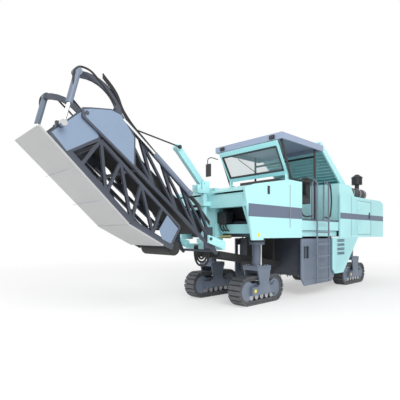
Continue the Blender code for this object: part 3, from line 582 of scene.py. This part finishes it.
def side_sheets():
    """Painted sheets between the front and rear side panels, and a thin black sheet of painted shade in the
    space behind the crossbeam.
    """
    for side_name, side in SIDES.items():
        sheets = {
            "mid_sheet": (at(-3.22, side * 1.100, 1.655), at(-1.22, side * 1.102, 1.895)),
            "sill_sheet": (at(-3.22, side * 1.0405, 1.50), at(-1.22, side * 1.0435, 1.83)),
        }
        for name, corners in sheets.items():
            boxes(f"{name}_{side_name}", [corners], TEAL, "machine", 0.0005)
        reflector = [(at(0.45, side * PANEL_Y, 1.50), at(0.53, side * (PANEL_Y + 0.004), 1.58))]
        boxes(f"front_reflector_{side_name}", reflector, YELLOW, "machine", 0.001)
    # Painted shade: a thin black sheet stands in for the shadowed space behind the crossbeam.
    space = [(at(0.25, -0.98, 1.90), at(0.30, 0.98, 2.44))]
    boxes("painted_shade_behind_crossbeam", space, BLACK, "machine", 0.01)


def front_hoses():
    """Hoses looped under the slew frame, short hoses beside the mast, and the steering link."""
    for k, (reach, sag) in enumerate(((0.21, 0.86), (0.16, 0.94), (0.11, 1.01))):
        x = 1.055 + 0.004 * k
        outline = ((-reach, 1.30), (-reach * 1.08, 1.12), (-reach * 0.6, sag + 0.03), (0.0, sag),
                   (reach * 0.6, sag + 0.03), (reach * 1.08, 1.12), (reach, 1.30))
        route = [at(x, y, z) for y, z in outline]
        hose(f"front_hose_{k}", route, 0.024, HOSE, "conveyor_slew")
    for k, y in enumerate((0.20, 0.27, 0.34, -0.20, -0.27, -0.34)):
        route = [at(0.58, y, 2.02), at(0.66, y, 1.96), at(0.68, y * 1.1, 1.80),
                 at(0.66, y * 1.2, 1.66), at(0.58, y * 1.2, 1.62)]
        hose(f"mast_hose_{k}", route, 0.018, HOSE, "machine")
    bars("steering_link", [(at(0.64, -0.50, 1.50), at(0.64, 0.20, 1.50))], 0.022, BRIGHT, "machine")
    bars("steering_link_sleeve", [(at(0.64, 0.20, 1.50), at(0.64, 0.50, 1.50))], 0.036, BRASS, "machine",
         bevel=0.004)
    block = [(at(0.45, -0.40, 1.80), at(0.69, 0.40, 2.05))]
    boxes("valve_block", block, BLACK, "machine", 0.012)


# ---------------------------------------------------------------- stage


def floor_material():
    """White, and seen by the camera as plain white far from the machine, where no shadow falls."""
    made, nodes, links, shader = new_material("floor_white")
    shader.inputs["Base Color"].default_value = (0.93, 0.93, 0.93, 1)
    shader.inputs["Roughness"].default_value = 0.8
    place = nodes.new("ShaderNodeNewGeometry")
    distance = nodes.new("ShaderNodeVectorMath")
    distance.operation = "LENGTH"
    links.new(place.outputs["Position"], distance.inputs[0])
    far = nodes.new("ShaderNodeMapRange")
    far.inputs["From Min"].default_value, far.inputs["From Max"].default_value = 6.5, 14.0
    far.inputs["To Min"].default_value, far.inputs["To Max"].default_value = 0.45, 1.0
    links.new(distance.outputs["Value"], far.inputs["Value"])
    path = nodes.new("ShaderNodeLightPath")
    share = nodes.new("ShaderNodeMath")
    share.operation = "MULTIPLY"
    links.new(far.outputs["Result"], share.inputs[0])
    links.new(path.outputs["Is Camera Ray"], share.inputs[1])
    white = nodes.new("ShaderNodeEmission")
    mix = nodes.new("ShaderNodeMixShader")
    links.new(share.outputs["Value"], mix.inputs["Fac"])
    links.new(shader.outputs["BSDF"], mix.inputs[1])
    links.new(white.outputs["Emission"], mix.inputs[2])
    links.new(mix.outputs["Shader"], nodes["Material Output"].inputs["Surface"])
    return made


def floor():
    bm = bmesh.new()
    bmesh.ops.create_grid(bm, x_segments=1, y_segments=1, size=120)
    mesh = bpy.data.meshes.new("floor")
    bm.to_mesh(mesh)
    bm.free()
    obj = bpy.data.objects.new("floor", mesh)
    bpy.context.scene.collection.objects.link(obj)
    mesh.materials.append(floor_material())


def surroundings():
    """A white world, a little dimmer as a light than it looks to the camera."""
    world = bpy.data.worlds.new("studio")
    bpy.context.scene.world = world
    world.use_nodes = True
    nodes, links = world.node_tree.nodes, world.node_tree.links
    path = nodes.new("ShaderNodeLightPath")
    level = nodes.new("ShaderNodeMapRange")
    level.inputs["To Min"].default_value, level.inputs["To Max"].default_value = 0.80, 1.0
    links.new(path.outputs["Is Camera Ray"], level.inputs["Value"])
    links.new(level.outputs["Result"], nodes["Background"].inputs["Strength"])
    nodes["Background"].inputs["Color"].default_value = (1, 1, 1, 1)


# Place, power in watts and size in metres
LAMPS = {"key": ((6.0, 10.0, 9.0), 900.0, 6.0), "fill": ((12.0, -4.0, 6.0), 300.0, 7.0)}


def lamps():
    aim = Vector((0, 0, 1.5))
    for name, (place, power, size) in LAMPS.items():
        light = bpy.data.lights.new(name, "AREA")
        light.energy, light.size = power, size
        lamp = bpy.data.objects.new(name, light)
        lamp.location = place
        lamp.rotation_euler = (aim - Vector(place)).to_track_quat("-Z", "Y").to_euler()
        bpy.context.scene.collection.objects.link(lamp)


def camera():
    """A level camera at eye height, ahead of the machine and to its left."""
    view = bpy.data.cameras.new("camera")
    view.lens, view.sensor_width, view.shift_y = 31.5, 36.0, 0.086
    view.clip_end = 400
    obj = bpy.data.objects.new("camera", view)
    obj.location = at(6.385, 5.666, 1.55)
    obj.rotation_euler = (math.radians(90), 0, math.radians(137.0))
    bpy.context.scene.collection.objects.link(obj)
    bpy.context.scene.camera = obj


MAKERS = (
    floor, surroundings, lamps, camera, dress_nodes,
    stripes, panel_seams, panel_chains, skirt_louvres, window, roof_trim, seat_cushions, console_detail,
    air_cleaner_trim, ladder_grips, mirror, crawler_trim, pick_tips, conveyor_trim, conveyor_plates,
    side_sheets, front_hoses,
)


def main():
    bpy.context.scene.view_settings.view_transform = "Standard"
    for make in MAKERS:
        make()


main()
